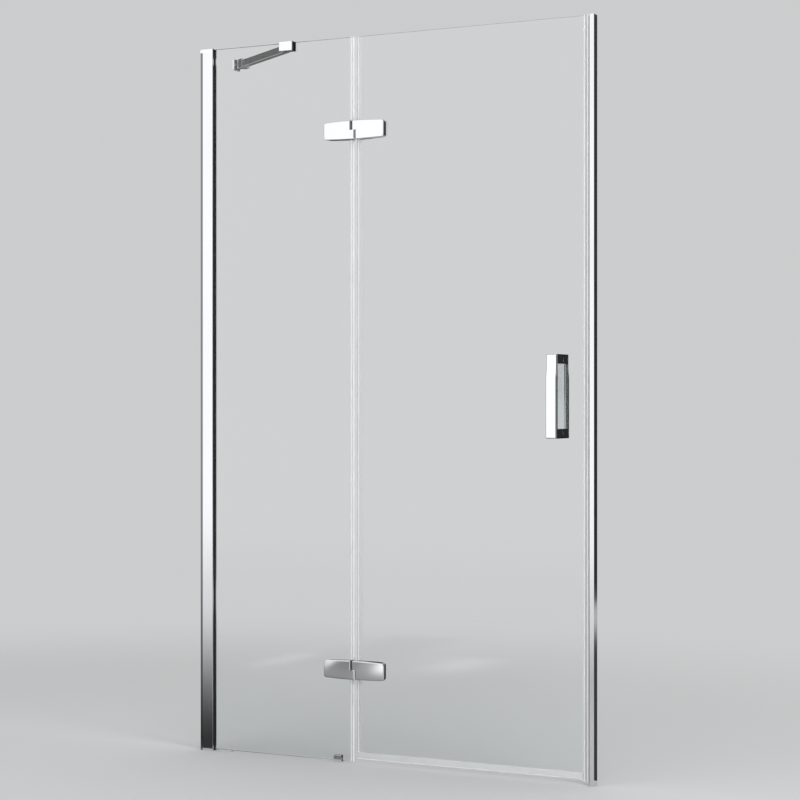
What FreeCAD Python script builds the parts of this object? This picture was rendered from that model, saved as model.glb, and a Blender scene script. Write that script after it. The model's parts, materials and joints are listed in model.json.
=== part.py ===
import FreeCAD, Part
import collections
import math
import os
import types

import Sketcher

# Hinged shower door with a fixed glass panel beside it, for a niche. Lengths in millimetres.
# +X runs along the glass from the wall profile to the closing side, +Y goes into the shower, +Z is up.
# The origin is on the wall face of the wall profile, at floor level, in the middle plane of the glass.

SIZES = {
    # Whole opening
    "niche_wide": 1190,
    "glass_top": 2000,
    "glass_thick": 8,
    "glass_chamfer": 0.8,
    "fixed_glass_end": 485,
    "fixed_glass_bottom": 4,
    "leaf_gap": 14,
    "door_glass_bottom": 17.5,
    "strike_reach": 16.2,
    "closing_gap": 0.8,
    "pad_thick": 1,
    "overrun": 2,
    "blind_gap": 0.5,
    "screw_fit": 0.05,
    "grub_hex_r": 1.7,
    "grub_hex_deep": 2.5,
    # Wall channel and the glazing profile that slides over it
    "profile_half": 12.5,
    "profile_wall": 1.5,
    "profile_nose": 41,
    "profile_start": 8,
    "profile_tall": 1991,
    "profile_corner": 1.2,
    "pocket_depth": 12.5,
    "glass_bite": 11,
    "gasket_thick": 2,
    "gasket_lip": 1.2,
    "gasket_lip_rise": 1,
    "channel_reach": 26,
    "channel_wall": 1.8,
    "channel_web": 2,
    "slide_gap": 0.2,
    "wall_hole_r": 2.75,
    "wall_hole_end": 95.5,
    "lock_screw_x": 16,
    "lock_screw_end": 145.5,
    "lock_shank_r": 1.75,
    "lock_head_r": 3.6,
    "lock_head_tall": 1.8,
    "lock_drive_wide": 2.2,
    "lock_drive_deep": 1.1,
    "lock_screw_gap": 0.3,
    # End cap on the wall profile
    "cap_tall": 11,
    "cap_skin": 2,
    "cap_plug_tall": 8,
    "cap_plug_wide": 14,
    "cap_round": 1,
    "cap_slot_gap": 0.5,
    # Floor clip and setting block
    "clip_from_end": 46,
    "clip_wide": 24,
    "clip_tall": 20,
    "clip_wall": 2,
    "clip_liner": 0.5,
    "block_x": 60,
    "block_wide": 40,
    # Seals
    "seal_wall": 1,
    "fixed_seal_leg": 10,
    "seal_fin_thick": 1,
    "seal_fin_gap": 1.2,
    "seal_fin_rise": 1.5,
    "door_seal_leg": 14,
    "seal_hinge_gap": 1,
    "seal_end_gap": 0.5,
    "bottom_seal_wall": 1.2,
    "bottom_seal_tall": 14.5,
    "bottom_lip_drop": 8.7,
    "bottom_lip_lean": 4.4,
    "bottom_lip_thick": 1.4,
    "drip_rib_out": 1.3,
    "drip_rib_thick": 0.9,
    "closing_leg": 10.5,
    "closing_wall": 1.2,
    "closing_box_deep": 4.8,
    "closing_box_half": 6,
    "closing_bottom": 8,
    "magnet_half": 4.6,
    "magnet_fit": 0.1,
    # Strike profile on the far wall
    "strike_half": 12.5,
    "strike_wall": 1.5,
    "strike_web": 2.5,
    "strike_leg": 12,
    "strike_tall": 2000,
    "strike_hole_end": 100,
    "carrier_wall": 1.5,
    "carrier_end": 13,
    "strike_magnet_half": 6,
    # Hinges
    "hinge_axis_out": 7.2,
    "hinge_low_z": 257.5,
    "hinge_top_drop": 257.5,
    "hinge_reach": 92.5,
    "hinge_half_mid": 26,
    "hinge_half_end": 23.5,
    "hinge_cover_thick": 12,
    "hinge_face_fall": 3,
    "hinge_round": 2.2,
    "hinge_corner": 7,
    "knuckle_r": 6.4,
    "knuckle_slot": 9.2,
    "knuckle_seam": 0.6,
    "knuckle_split": 1,
    "knuckle_roof": 3,
    "hinge_pin_r": 3,
    "hinge_pin_fit": 0.05,
    "hinge_pin_press": 0.02,
    "bush_wall": 1.1,
    "washer_air": 0.1,
    "hinge_plate_thick": 8,
    "hinge_plate_inset": 4,
    "hinge_plate_chamfer": 1.5,
    "hinge_pad_inset": 2.5,
    "hinge_screw_near": 34,
    "hinge_screw_far": 72,
    "hinge_shank_r": 3,
    "hinge_head_r": 5,
    "hinge_head_tall": 4.6,
    "hinge_head_bore": 5,
    "hinge_screw_bite": 6,
    "hinge_screw_gap": 0.25,
    "hinge_hex_r": 2.9,
    "hinge_hex_deep": 2.5,
    "hinge_glass_hole_r": 7,
    # Handle
    "handle_from_edge": 82,
    "handle_z": 1009.5,
    "handle_wide": 31,
    "handle_tall": 220,
    "handle_out": 49,
    "handle_grip": 10,
    "handle_back_crown": 1.5,
    "handle_arm": 25,
    "handle_top_set_back": 5,
    "handle_bend_top": 80,
    "handle_bend_low": 42,
    "handle_round": 3,
    "handle_stud_r": 4,
    "handle_stud_bite": 20,
    "handle_stud_pitch": 195,
    "handle_fit": 0.05,
    "handle_glass_hole_r": 6,
    "handle_washer_r": 11,
    "handle_grub_r": 2.5,
    "handle_grub_long": 8,
    "handle_grub_y": 16,
    # Support bar from the side wall to the glass clamp
    "bar_drop": 12,
    "bar_side": 20,
    "bar_wall": 1.5,
    "bar_corner": 1.5,
    "flange_y": 188,
    "flange_thick": 6,
    "flange_wide": 35,
    "flange_tall": 32,
    "flange_round": 1.5,
    "flange_hole_pitch": 25,
    "flange_hole_r": 2.2,
    "lug_r": 8,
    "lug_thick": 4,
    "lug_inner": 7,
    "lug_gap": 0.3,
    "pivot_x": 15,
    "pivot_r": 3,
    "pivot_fit": 0.05,
    "socket_start": 12,
    "socket_long": 28,
    "socket_side": 27,
    "socket_floor": 8,
    "socket_fit": 0.15,
    "socket_round": 1,
    "bar_end_gap": 1,
    "bar_grub_r": 2.5,
    "bar_grub_at": 30,
    "plug_fit": 0.1,
    "plug_long": 20,
    "plug_collar": 4,
    "plug_stand_off": 12,
    # Glass clamp
    "clamp_from_end": 206,
    "clamp_wide": 42.5,
    "clamp_bite": 24,
    "clamp_roof": 2.5,
    "clamp_air": 0.5,
    "clamp_front_thick": 10,
    "clamp_back_thick": 6,
    "clamp_round": 1.5,
    "clamp_pivot_in": 11,
    "clamp_pivot_y": 19.5,
    "clamp_lug_r": 7,
    "clamp_pad_inset": 2,
    "clamp_grub_out": 12,
    "clamp_grub_r": 3,
    "clamp_grub_pitch": 12,
}
WALL_HOLES = 4
LOCK_SCREWS = 3
TOUCH = 1e-6
HINGES = ("lower", "upper")
UP = FreeCAD.Vector(0, 0, 1)
ACROSS = FreeCAD.Vector(1, 0, 0)
INWARD = FreeCAD.Vector(0, 1, 0)


class Size:
    """A length or an angle, with the formula in the sheet's aliases that gives it."""

    def __init__(self, value, text):
        self.value = value
        self.text = text

    def __add__(self, other):
        return Size(self.value + sized(other).value, f"({self.text} + {sized(other).text})")

    def __sub__(self, other):
        return Size(self.value - sized(other).value, f"({self.text} - {sized(other).text})")

    def __mul__(self, other):
        return Size(self.value * sized(other).value, f"({self.text} * {sized(other).text})")

    def __truediv__(self, other):
        return Size(self.value / sized(other).value, f"({self.text} / {sized(other).text})")

    def __neg__(self):
        return self * -1

    __radd__ = __add__
    __rmul__ = __mul__

    def __rsub__(self, other):
        return sized(other) - self


def sized(number):
    """A plain number as a Size, and a Size as it is."""
    if isinstance(number, Size):
        return number
    return Size(number, f"({number})")


def long_side(across, up):
    """The third side of a right-angled triangle."""
    across, up = sized(across), sized(up)
    return Size(math.hypot(across.value, up.value), f"sqrt({across.text} ^ 2 + {up.text} ^ 2)")


def short_side(longest, other):
    """A short side of a right-angled triangle, from its longest side and its other one."""
    value = math.sqrt(longest.value**2 - other.value**2)
    return Size(value, f"sqrt({longest.text} ^ 2 - {other.text} ^ 2)")


def bend_of(run, fall):
    """The radius of an arc that leaves level and has fallen so far at the end of the run."""
    return (run * run + fall * fall) / (fall * 2)


def slope(up, across):
    """The angle of a line, in degrees."""
    angle = math.degrees(math.atan2(up.value, across.value))
    return Size(angle, f"atan2({up.text}; {across.text})")


Circle = collections.namedtuple("Circle", "x y radius")
Bow = collections.namedtuple("Bow", "radius toward_x toward_y")

doc = FreeCAD.newDocument("shower_door")
sheet = doc.addObject("Spreadsheet::Sheet", "sizes")
for row, (alias, number) in enumerate(SIZES.items(), start=1):
    sheet.set(f"A{row}", alias)
    sheet.set(f"B{row}", str(number))
    sheet.setAlias(f"B{row}", alias)
doc.recompute()
mm = types.SimpleNamespace(**{name: Size(number, f"sizes.{name}") for name, number in SIZES.items()})

half_glass = mm.glass_thick / 2
door_glass_start = mm.fixed_glass_end + mm.leaf_gap
clip_x = mm.fixed_glass_end - mm.clip_from_end
hinge_axis_x = mm.fixed_glass_end + mm.hinge_axis_out
pad_face = half_glass + mm.pad_thick
fixed_glass_start = mm.profile_nose - mm.glass_bite
channel_half = mm.profile_half - mm.profile_wall - mm.slide_gap
pocket_web = mm.profile_nose - mm.pocket_depth
strike_face = mm.niche_wide - mm.strike_reach
closing_end = strike_face - mm.closing_gap
door_glass_end = closing_end - mm.closing_box_deep - mm.closing_wall
handle_x = door_glass_end - mm.handle_from_edge
hinge_front = pad_face + mm.hinge_cover_thick
hinge_axis_y = mm.knuckle_r - hinge_front
knuckle_back_x = short_side(mm.knuckle_r, mm.hinge_cover_thick - mm.knuckle_r)
hinge_back = pad_face + mm.hinge_plate_thick
seam_x = mm.knuckle_r + mm.knuckle_seam
half_split = mm.knuckle_split / 2
bar_z = mm.glass_top - mm.bar_drop
clamp_x = mm.fixed_glass_end - mm.clamp_from_end
clamp_bottom = mm.glass_top - mm.clamp_bite
clamp_pivot_x = clamp_x - mm.clamp_pivot_in
clamp_grub_x = clamp_x + mm.clamp_grub_out
bar_run = clamp_pivot_x - mm.pivot_x
bar_fall = mm.clamp_pivot_y - mm.flange_y
bar_turn = slope(bar_fall, bar_run)
bar_reach = long_side(bar_run, bar_fall)
bar_end = bar_reach - mm.plug_stand_off - mm.plug_collar
tongue_half = mm.lug_inner - mm.lug_gap

pieces = []
pockets = []


def bind(thing, name, size):
    """Ties a property to its formula."""
    thing.setExpression(name, sized(size).text)


def body(label, x=0, y=0, z=0, turn=None):
    """A body of its own for one piece, placed in the frame."""
    piece = doc.addObject("PartDesign::Body", label)
    piece.Label = label
    piece.AllowCompound = True
    if turn is not None:
        piece.Placement = FreeCAD.Placement(FreeCAD.Vector(), FreeCAD.Rotation(UP, turn.value))
        bind(piece, "Placement.Rotation.Angle", turn)
    for axis, size in zip("xyz", (x, y, z)):
        bind(piece, f"Placement.Base.{axis}", size)
    pieces.append(piece)
    return piece


def arc_between(start, end, bow):
    """The shorter arc of the bow's radius from start to end, on the side that the bow points to."""
    middle = (start + end) / 2
    chord = end - start
    normal = FreeCAD.Vector(-chord.y, chord.x, 0).normalize()
    if normal.dot(FreeCAD.Vector(bow.toward_x, bow.toward_y, 0)) < 0:
        normal = -normal
    radius = sized(bow.radius).value
    centre = middle - normal * math.sqrt(max(0, radius**2 - (chord.Length / 2) ** 2))
    turns = [math.atan2(point.y - centre.y, point.x - centre.x) for point in (start, end)]
    if (turns[1] - turns[0]) % (2 * math.pi) > math.pi:
        turns.reverse()
    return Part.ArcOfCircle(Part.Circle(centre, UP, radius), turns[0], turns[1])


def tie_point(sketch, geometry, end, x, y):
    """Holds one point of a sketch at x and y from its origin."""
    for kind, size in (("DistanceX", x), ("DistanceY", y)):
        size = sized(size)
        index = sketch.addConstraint(Sketcher.Constraint(kind, -1, 1, geometry, end, size.value))
        sketch.setExpression(f"Constraints[{index}]", size.text)


def draw_circle(sketch, circle):
    centre = FreeCAD.Vector(sized(circle.x).value, sized(circle.y).value, 0)
    radius = sized(circle.radius)
    made = sketch.addGeometry(Part.Circle(centre, UP, radius.value), False)
    tie_point(sketch, made, 3, circle.x, circle.y)
    index = sketch.addConstraint(Sketcher.Constraint("Radius", made, radius.value))
    sketch.setExpression(f"Constraints[{index}]", radius.text)


def draw_loop(sketch, corners):
    """A closed outline. A corner is x, y and, where an arc leaves it, that arc's bow."""
    points = [FreeCAD.Vector(sized(c[0]).value, sized(c[1]).value, 0) for c in corners]
    first = sketch.GeometryCount
    ends = []
    for number, corner in enumerate(corners):
        start, end = points[number], points[(number + 1) % len(points)]
        bow = corner[2] if len(corner) > 2 else None
        edge = Part.LineSegment(start, end) if bow is None else arc_between(start, end, bow)
        made = sketch.addGeometry(edge, False)
        forward = sketch.Geometry[made].StartPoint.distanceToPoint(start) < TOUCH
        ends.append((1, 2) if forward else (2, 1))
        if bow is not None:
            radius = sized(bow.radius)
            index = sketch.addConstraint(Sketcher.Constraint("Radius", made, radius.value))
            sketch.setExpression(f"Constraints[{index}]", radius.text)
    for number, corner in enumerate(corners):
        after = (number + 1) % len(corners)
        joint = ("Coincident", first + number, ends[number][1], first + after, ends[after][0])
        sketch.addConstraint(Sketcher.Constraint(*joint))
    for number, corner in enumerate(corners):
        tie_point(sketch, first + number, ends[number][0], corner[0], corner[1])


def sketch_on(piece, plane, loops, offset=0):
    """Outlines on one of the body's origin planes, moved along the plane's normal.

    XY_Plane faces +Z, XZ_Plane faces -Y with X and Z in it, and YZ_Plane faces +X with Y and Z in it.
    """
    sketch = piece.newObject("Sketcher::SketchObject", f"{piece.Name}_outline")
    support = next(f for f in piece.Origin.OriginFeatures if f.Role == plane)
    sketch.AttachmentSupport = (support, [""])
    sketch.MapMode = "FlatFace"
    bind(sketch, "AttachmentOffset.Base.z", offset)
    for loop in loops:
        if isinstance(loop, Circle):
            draw_circle(sketch, loop)
        else:
            draw_loop(sketch, loop)
    return sketch


def pad(piece, plane, loops, start, length):
    """Adds material from start, along the plane's normal, for the length."""
    feature = piece.newObject("PartDesign::Pad", f"{piece.Name}_pad")
    feature.Profile = sketch_on(piece, plane, loops, start)
    bind(feature, "Length", length)
    return feature


def pocket(piece, plane, loops, start, depth, along_normal=False):
    """Cuts from start, against the plane's normal or along it, for the depth."""
    sketch = sketch_on(piece, plane, loops, start)
    feature = piece.newObject("PartDesign::Pocket", f"{piece.Name}_pocket")
    feature.Profile = sketch
    feature.Reversed = along_normal
    bind(feature, "Length", depth)
    pockets.append((feature, feature.BaseFeature))
    return feature


def ease(piece, kind, size, chosen):
    """Rounds or chamfers the edges of the piece that the test picks."""
    doc.recompute()
    base = piece.Tip
    names = [f"Edge{i}" for i, edge in enumerate(base.Shape.Edges, start=1) if chosen(edge)]
    feature = piece.newObject(f"PartDesign::{kind}", f"{piece.Name}_{kind.lower()}")
    feature.Base = (base, names)
    bind(feature, "Radius" if kind == "Fillet" else "Size", size)
    return feature


def box(x0, x1, y0, y1):
    """A rectangle's corners in a sketch."""
    return [(x0, y0), (x1, y0), (x1, y1), (x0, y1)]


def hexagon(x, y, radius):
    """A hexagon's corners round a point in a sketch."""
    corners = []
    for step in range(6):
        turn = math.radians(60 * step)
        corners.append((radius * math.cos(turn) + x, radius * math.sin(turn) + y))
    return corners


def along(edge, axis):
    """True for a straight edge that runs along the axis."""
    return edge.Curve.TypeId == "Part::GeomLine" and abs(edge.Curve.Direction.dot(axis)) > 1 - TOUCH


def middle_of(edge):
    return edge.valueAt((edge.FirstParameter + edge.LastParameter) / 2)


def rows(count, pitch, middle):
    """Heights of a row of things, evenly spaced about the middle."""
    return [pitch * (step - (count - 1) / 2) + middle for step in range(count)]


def spread(count, low, high):
    """Heights of a row of things, evenly spread from the low one to the high one."""
    return [(high - low) * (step / (count - 1)) + low for step in range(count)]


def hinge_heights():
    return {"lower": mm.hinge_low_z, "upper": mm.glass_top - mm.hinge_top_drop}


# Wall profile, on the side wall

def wall_channel():
    piece = body("wall_channel")
    inner = channel_half - mm.channel_wall
    outline = [
        (0, -channel_half),
        (mm.channel_reach, -channel_half),
        (mm.channel_reach, -inner),
        (mm.channel_web, -inner),
        (mm.channel_web, inner),
        (mm.channel_reach, inner),
        (mm.channel_reach, channel_half),
        (0, channel_half),
    ]
    pad(piece, "XY_Plane", [outline], 0, mm.profile_tall)
    holes = wall_holes(mm.wall_hole_end, mm.profile_tall)
    pocket(piece, "YZ_Plane", holes, mm.channel_web, mm.channel_web)
    lock_holes = [Circle(mm.lock_screw_x, z, mm.lock_shank_r) for z in lock_heights()]
    pocket(piece, "XZ_Plane", lock_holes, -inner, mm.channel_wall)


def wall_holes(end, tall):
    """Screw holes of a profile, in a plane along the wall."""
    return [Circle(0, z, mm.wall_hole_r) for z in spread(WALL_HOLES, end, tall - end)]


def lock_heights():
    return spread(LOCK_SCREWS, mm.lock_screw_end, mm.profile_tall - mm.lock_screw_end)


def glazing_profile():
    piece = body("glazing_profile")
    half, wall, nose = mm.profile_half, mm.profile_wall, mm.profile_nose
    inner = half - wall
    lip = half_glass + mm.gasket_thick
    web = pocket_web
    outline = [
        (mm.profile_start, -half),
        (nose, -half),
        (nose, -lip),
        (web, -lip),
        (web, lip),
        (nose, lip),
        (nose, half),
        (mm.profile_start, half),
        (mm.profile_start, inner),
        (web - wall, inner),
        (web - wall, -inner),
        (mm.profile_start, -inner),
    ]
    chambers = [box(web, nose - wall, side * (lip + wall), side * inner) for side in (-1, 1)]
    pad(piece, "XY_Plane", [outline] + chambers, 0, mm.profile_tall)
    holes = [Circle(mm.lock_screw_x, z, mm.lock_shank_r + mm.lock_screw_gap) for z in lock_heights()]
    pocket(piece, "XZ_Plane", holes, -inner, wall)
    rounded = half.value - TOUCH
    start = mm.profile_start.value + TOUCH
    ease(piece, "Fillet", mm.profile_corner,
         lambda e: along(e, UP) and abs(middle_of(e).y) > rounded and middle_of(e).x > start)


def profile_lock_screws():
    """Self-tapping screws that lock the glazing profile on the wall channel, from the shower side."""
    piece = body("profile_lock_screws")
    face = mm.profile_half + mm.lock_head_tall
    heads = [Circle(mm.lock_screw_x, z, mm.lock_head_r) for z in lock_heights()]
    shanks = [Circle(mm.lock_screw_x, z, mm.lock_shank_r) for z in lock_heights()]
    drives = [hexagon(mm.lock_screw_x, z, mm.lock_drive_wide / 2) for z in lock_heights()]
    pad(piece, "XZ_Plane", heads, -face, mm.lock_head_tall)
    pad(piece, "XZ_Plane", shanks, -mm.profile_half, mm.profile_half - channel_half + mm.channel_wall * 2)
    pocket(piece, "XZ_Plane", drives, -face, mm.lock_drive_deep, along_normal=True)


def profile_end_cap():
    piece = body("profile_end_cap")
    half, nose = mm.profile_half, mm.profile_nose
    top = mm.profile_tall + mm.cap_tall
    under = mm.cap_tall - mm.cap_skin
    glass_slot = half_glass + mm.cap_slot_gap
    pad(piece, "XY_Plane", [box(0, nose, -half, half)], mm.profile_tall, mm.cap_tall)
    ease(piece, "Fillet", mm.cap_round,
         lambda e: middle_of(e).z > top.value - TOUCH or (along(e, UP) and middle_of(e).x > TOUCH))
    hollow = box(mm.cap_skin, fixed_glass_start - mm.cap_skin, mm.cap_skin - half, half - mm.cap_skin)
    pocket(piece, "XY_Plane", [hollow], mm.profile_tall, under, along_normal=True)
    slot = box(fixed_glass_start - mm.cap_slot_gap, nose + mm.overrun, -glass_slot, glass_slot)
    pocket(piece, "XY_Plane", [slot], mm.profile_tall, mm.cap_tall + mm.overrun, along_normal=True)
    plug_half = channel_half - mm.channel_wall - mm.slide_gap
    plug_start = mm.channel_web + mm.cap_skin
    plug = box(plug_start, plug_start + mm.cap_plug_wide, -plug_half, plug_half)
    pad(piece, "XY_Plane", [plug], mm.profile_tall - mm.cap_plug_tall, mm.cap_plug_tall + under)


def glazing_gasket(label, side):
    """Wedge gasket between the glass and the pocket's wall, with a lip over the nose."""
    piece = body(label)
    near, far = half_glass, half_glass + mm.gasket_thick
    nose = mm.profile_nose
    outline = [
        (fixed_glass_start + mm.gasket_thick, side * near),
        (nose + mm.gasket_lip, side * near),
        (nose + mm.gasket_lip, side * far),
        (nose + mm.gasket_lip / 2, side * (far + mm.gasket_lip_rise)),
        (nose, side * (far + mm.gasket_lip_rise)),
        (nose, side * far),
        (fixed_glass_start + mm.gasket_thick, side * far),
    ]
    pad(piece, "XY_Plane", [outline], 0, mm.profile_tall)


# Fixed glass and what it stands on

def chamfer_panel(piece, x0, x1):
    """A small polished chamfer round both faces of a glass panel."""
    ends = (x0.value, x1.value)

    def rim(edge):
        point = middle_of(edge)
        at_face = abs(abs(point.y) - half_glass.value) < TOUCH
        at_end = any(abs(point.x - end) < TOUCH for end in ends)
        return at_face and (at_end or along(edge, ACROSS))

    ease(piece, "Chamfer", mm.glass_chamfer, rim)


def glass_panel(label, x0, x1, bottom, holes):
    piece = body(label)
    pad(piece, "XZ_Plane", [box(x0, x1, bottom, mm.glass_top)], -half_glass, mm.glass_thick)
    chamfer_panel(piece, x0, x1)
    pocket(piece, "XZ_Plane", holes, -half_glass, mm.glass_thick, along_normal=True)


def hinge_screw_places(side):
    """Screw places of one leaf, from the hinge axis. The fixed leaf is on side -1, the door's on side 1."""
    return [side * mm.hinge_screw_near, side * mm.hinge_screw_far]


def hinge_glass_holes(side):
    return [
        Circle(hinge_axis_x + x, z, mm.hinge_glass_hole_r)
        for z in hinge_heights().values()
        for x in hinge_screw_places(side)
    ]


def fixed_glass():
    holes = hinge_glass_holes(-1)
    glass_panel("fixed_glass", fixed_glass_start, mm.fixed_glass_end, mm.fixed_glass_bottom, holes)


def setting_block():
    piece = body("setting_block")
    outline = box(mm.block_x, mm.block_x + mm.block_wide, -half_glass, half_glass)
    pad(piece, "XY_Plane", [outline], 0, mm.fixed_glass_bottom)


def u_outline(inner, wall, floor, foot, top):
    """A U in the YZ plane: inner half width, wall, height of its floor's top, its foot and its top."""
    outer = inner + wall
    return [
        (-outer, foot),
        (outer, foot),
        (outer, top),
        (inner, top),
        (inner, floor),
        (-inner, floor),
        (-inner, top),
        (-outer, top),
    ]


def floor_clip():
    piece = body("floor_clip", x=clip_x - mm.clip_wide / 2)
    inner = half_glass + mm.clip_liner
    outline = u_outline(inner, mm.clip_wall, mm.clip_wall, 0, mm.clip_tall)
    pad(piece, "YZ_Plane", [outline], 0, mm.clip_wide)
    outer = inner.value + mm.clip_wall.value
    ease(piece, "Fillet", mm.clip_wall / 2,
         lambda e: along(e, ACROSS) and abs(middle_of(e).y) > outer - TOUCH and middle_of(e).z > TOUCH)


def floor_clip_liner():
    piece = body("floor_clip_liner", x=clip_x - mm.clip_wide / 2)
    top = mm.clip_tall - mm.clip_liner
    outline = u_outline(half_glass, mm.clip_liner, mm.fixed_glass_bottom, mm.clip_wall, top)
    pad(piece, "YZ_Plane", [outline], 0, mm.clip_wide)


# Seals on the glass edges

def seal_spans(bottom):
    """Stretches of a vertical seal between the hinges: name, foot and top."""
    low, high = hinge_heights()["lower"], hinge_heights()["upper"]
    clear = mm.hinge_half_mid + mm.seal_hinge_gap
    return [
        ("lower", bottom, low - clear),
        ("middle", low + clear, high - clear),
        ("upper", high + clear, mm.glass_top),
    ]


def edge_seal(label, edge, way, leg, foot, top, fin=None):
    """Clip-on seal: two legs on the glass, a web over its edge and, where asked, a fin across the gap."""
    piece = body(label)
    inner, outer = half_glass, half_glass + mm.seal_wall
    web = edge + way * mm.seal_wall
    root = edge - way * leg
    outline = [(root, -outer), (web, -outer)]
    if fin is not None:
        outline += [
            (web, -mm.seal_fin_thick / 2),
            (fin, mm.seal_fin_rise),
            (fin, mm.seal_fin_rise + mm.seal_fin_thick),
            (web, mm.seal_fin_thick / 2),
        ]
    outline += [(web, outer), (root, outer), (root, inner), (edge, inner), (edge, -inner), (root, -inner)]
    pad(piece, "XY_Plane", [outline], foot, top - foot)


def fixed_edge_seals():
    tip = door_glass_start - mm.seal_wall - mm.seal_fin_gap
    for name, foot, top in seal_spans(mm.fixed_glass_bottom):
        edge_seal(f"fixed_edge_seal_{name}", mm.fixed_glass_end, 1, mm.fixed_seal_leg, foot, top, tip)


def door_hinge_seals():
    start = mm.door_glass_bottom + mm.bottom_seal_tall + mm.seal_end_gap
    for name, foot, top in seal_spans(start):
        edge_seal(f"door_hinge_seal_{name}", door_glass_start, -1, mm.door_seal_leg, foot, top)


def bottom_seal():
    """Clip-on seal under the door: legs on the glass, a drip rib outside and a lip that leans inwards."""
    piece = body("door_bottom_seal", x=door_glass_start - mm.seal_wall)
    inner, wall = half_glass, mm.bottom_seal_wall
    outer = inner + wall
    edge = mm.door_glass_bottom
    top = edge + mm.bottom_seal_tall
    web = edge - wall
    rib = web - mm.drip_rib_out
    lip_foot = web - mm.bottom_lip_drop
    lip_root = mm.bottom_lip_thick / 2
    outline = [
        (-outer, top),
        (-outer, web),
        (-outer - mm.drip_rib_out, rib),
        (-outer - mm.drip_rib_out + mm.drip_rib_thick, rib - mm.drip_rib_thick),
        (-inner + mm.drip_rib_thick, web),
        (-lip_root, web),
        (mm.bottom_lip_lean - lip_root, lip_foot),
        (mm.bottom_lip_lean + lip_root, lip_foot),
        (lip_root, web),
        (outer, web),
        (outer, top),
        (inner, top),
        (inner, edge),
        (-inner, edge),
        (-inner, top),
    ]
    end = door_glass_end - mm.closing_leg - mm.seal_end_gap
    pad(piece, "YZ_Plane", [outline], 0, end - door_glass_start + mm.seal_wall)


def closing_seal():
    """Clip-on seal on the closing edge, with a square chamber that holds the magnet."""
    piece = body("closing_seal")
    inner, wall = half_glass, mm.closing_wall
    outer = inner + wall
    root = door_glass_end - mm.closing_leg
    web = door_glass_end + wall
    outline = [
        (root, -outer),
        (web, -outer),
        (web, -mm.closing_box_half),
        (closing_end, -mm.closing_box_half),
        (closing_end, mm.closing_box_half),
        (web, mm.closing_box_half),
        (web, outer),
        (root, outer),
        (root, inner),
        (door_glass_end, inner),
        (door_glass_end, -inner),
        (root, -inner),
    ]
    pad(piece, "XY_Plane", [outline, magnet_outline(0)], mm.closing_bottom, mm.glass_top - mm.closing_bottom)


def magnet_outline(fit):
    """The magnet's section in the closing seal, or its chamber without the fit."""
    start = door_glass_end + mm.closing_wall
    end = closing_end - mm.closing_wall / 2
    half = mm.magnet_half - fit
    return box(start + fit, end - fit, -half, half)


def closing_magnet():
    piece = body("closing_magnet")
    start = mm.closing_bottom + mm.closing_wall
    outline = magnet_outline(mm.magnet_fit)
    pad(piece, "XY_Plane", [outline], start, mm.glass_top - mm.closing_wall - start)


# Strike profile on the wall at the closing side

def strike_profile():
    piece = body("strike_profile")
    half, wall = mm.strike_half, mm.strike_wall
    back = mm.niche_wide
    front, web = back - mm.strike_leg, back - mm.strike_web
    inner = half - wall
    outline = [
        (front, -half),
        (back, -half),
        (back, half),
        (front, half),
        (front, inner),
        (web, inner),
        (web, -inner),
        (front, -inner),
    ]
    pad(piece, "XY_Plane", [outline], 0, mm.strike_tall)
    holes = wall_holes(mm.strike_hole_end, mm.strike_tall)
    pocket(piece, "YZ_Plane", holes, back, mm.strike_web)


def strike_carrier():
    """Hollow strip between the strike profile's legs that holds the magnet."""
    piece = body("strike_carrier")
    half = mm.strike_half - mm.strike_wall - mm.slide_gap
    front = mm.niche_wide - mm.carrier_end
    back = mm.niche_wide - mm.strike_web
    wall = mm.carrier_wall
    hollow = box(front + wall, back - wall, wall - half, half - wall)
    pad(piece, "XY_Plane", [box(front, back, -half, half), hollow], 0, mm.strike_tall)


def strike_magnet():
    piece = body("strike_magnet")
    outline = box(strike_face, mm.niche_wide - mm.carrier_end, -mm.strike_magnet_half, mm.strike_magnet_half)
    pad(piece, "XY_Plane", [outline], mm.closing_bottom, mm.glass_top - mm.closing_bottom)


# Hinges

def hinge_body(label, level):
    """A body of one hinge, placed on the pin's axis.

    Side -1 is the fixed leaf with the lower knuckle, side 1 the door's leaf with the upper one.
    """
    return body(label, x=hinge_axis_x, z=hinge_heights()[level])


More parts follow.
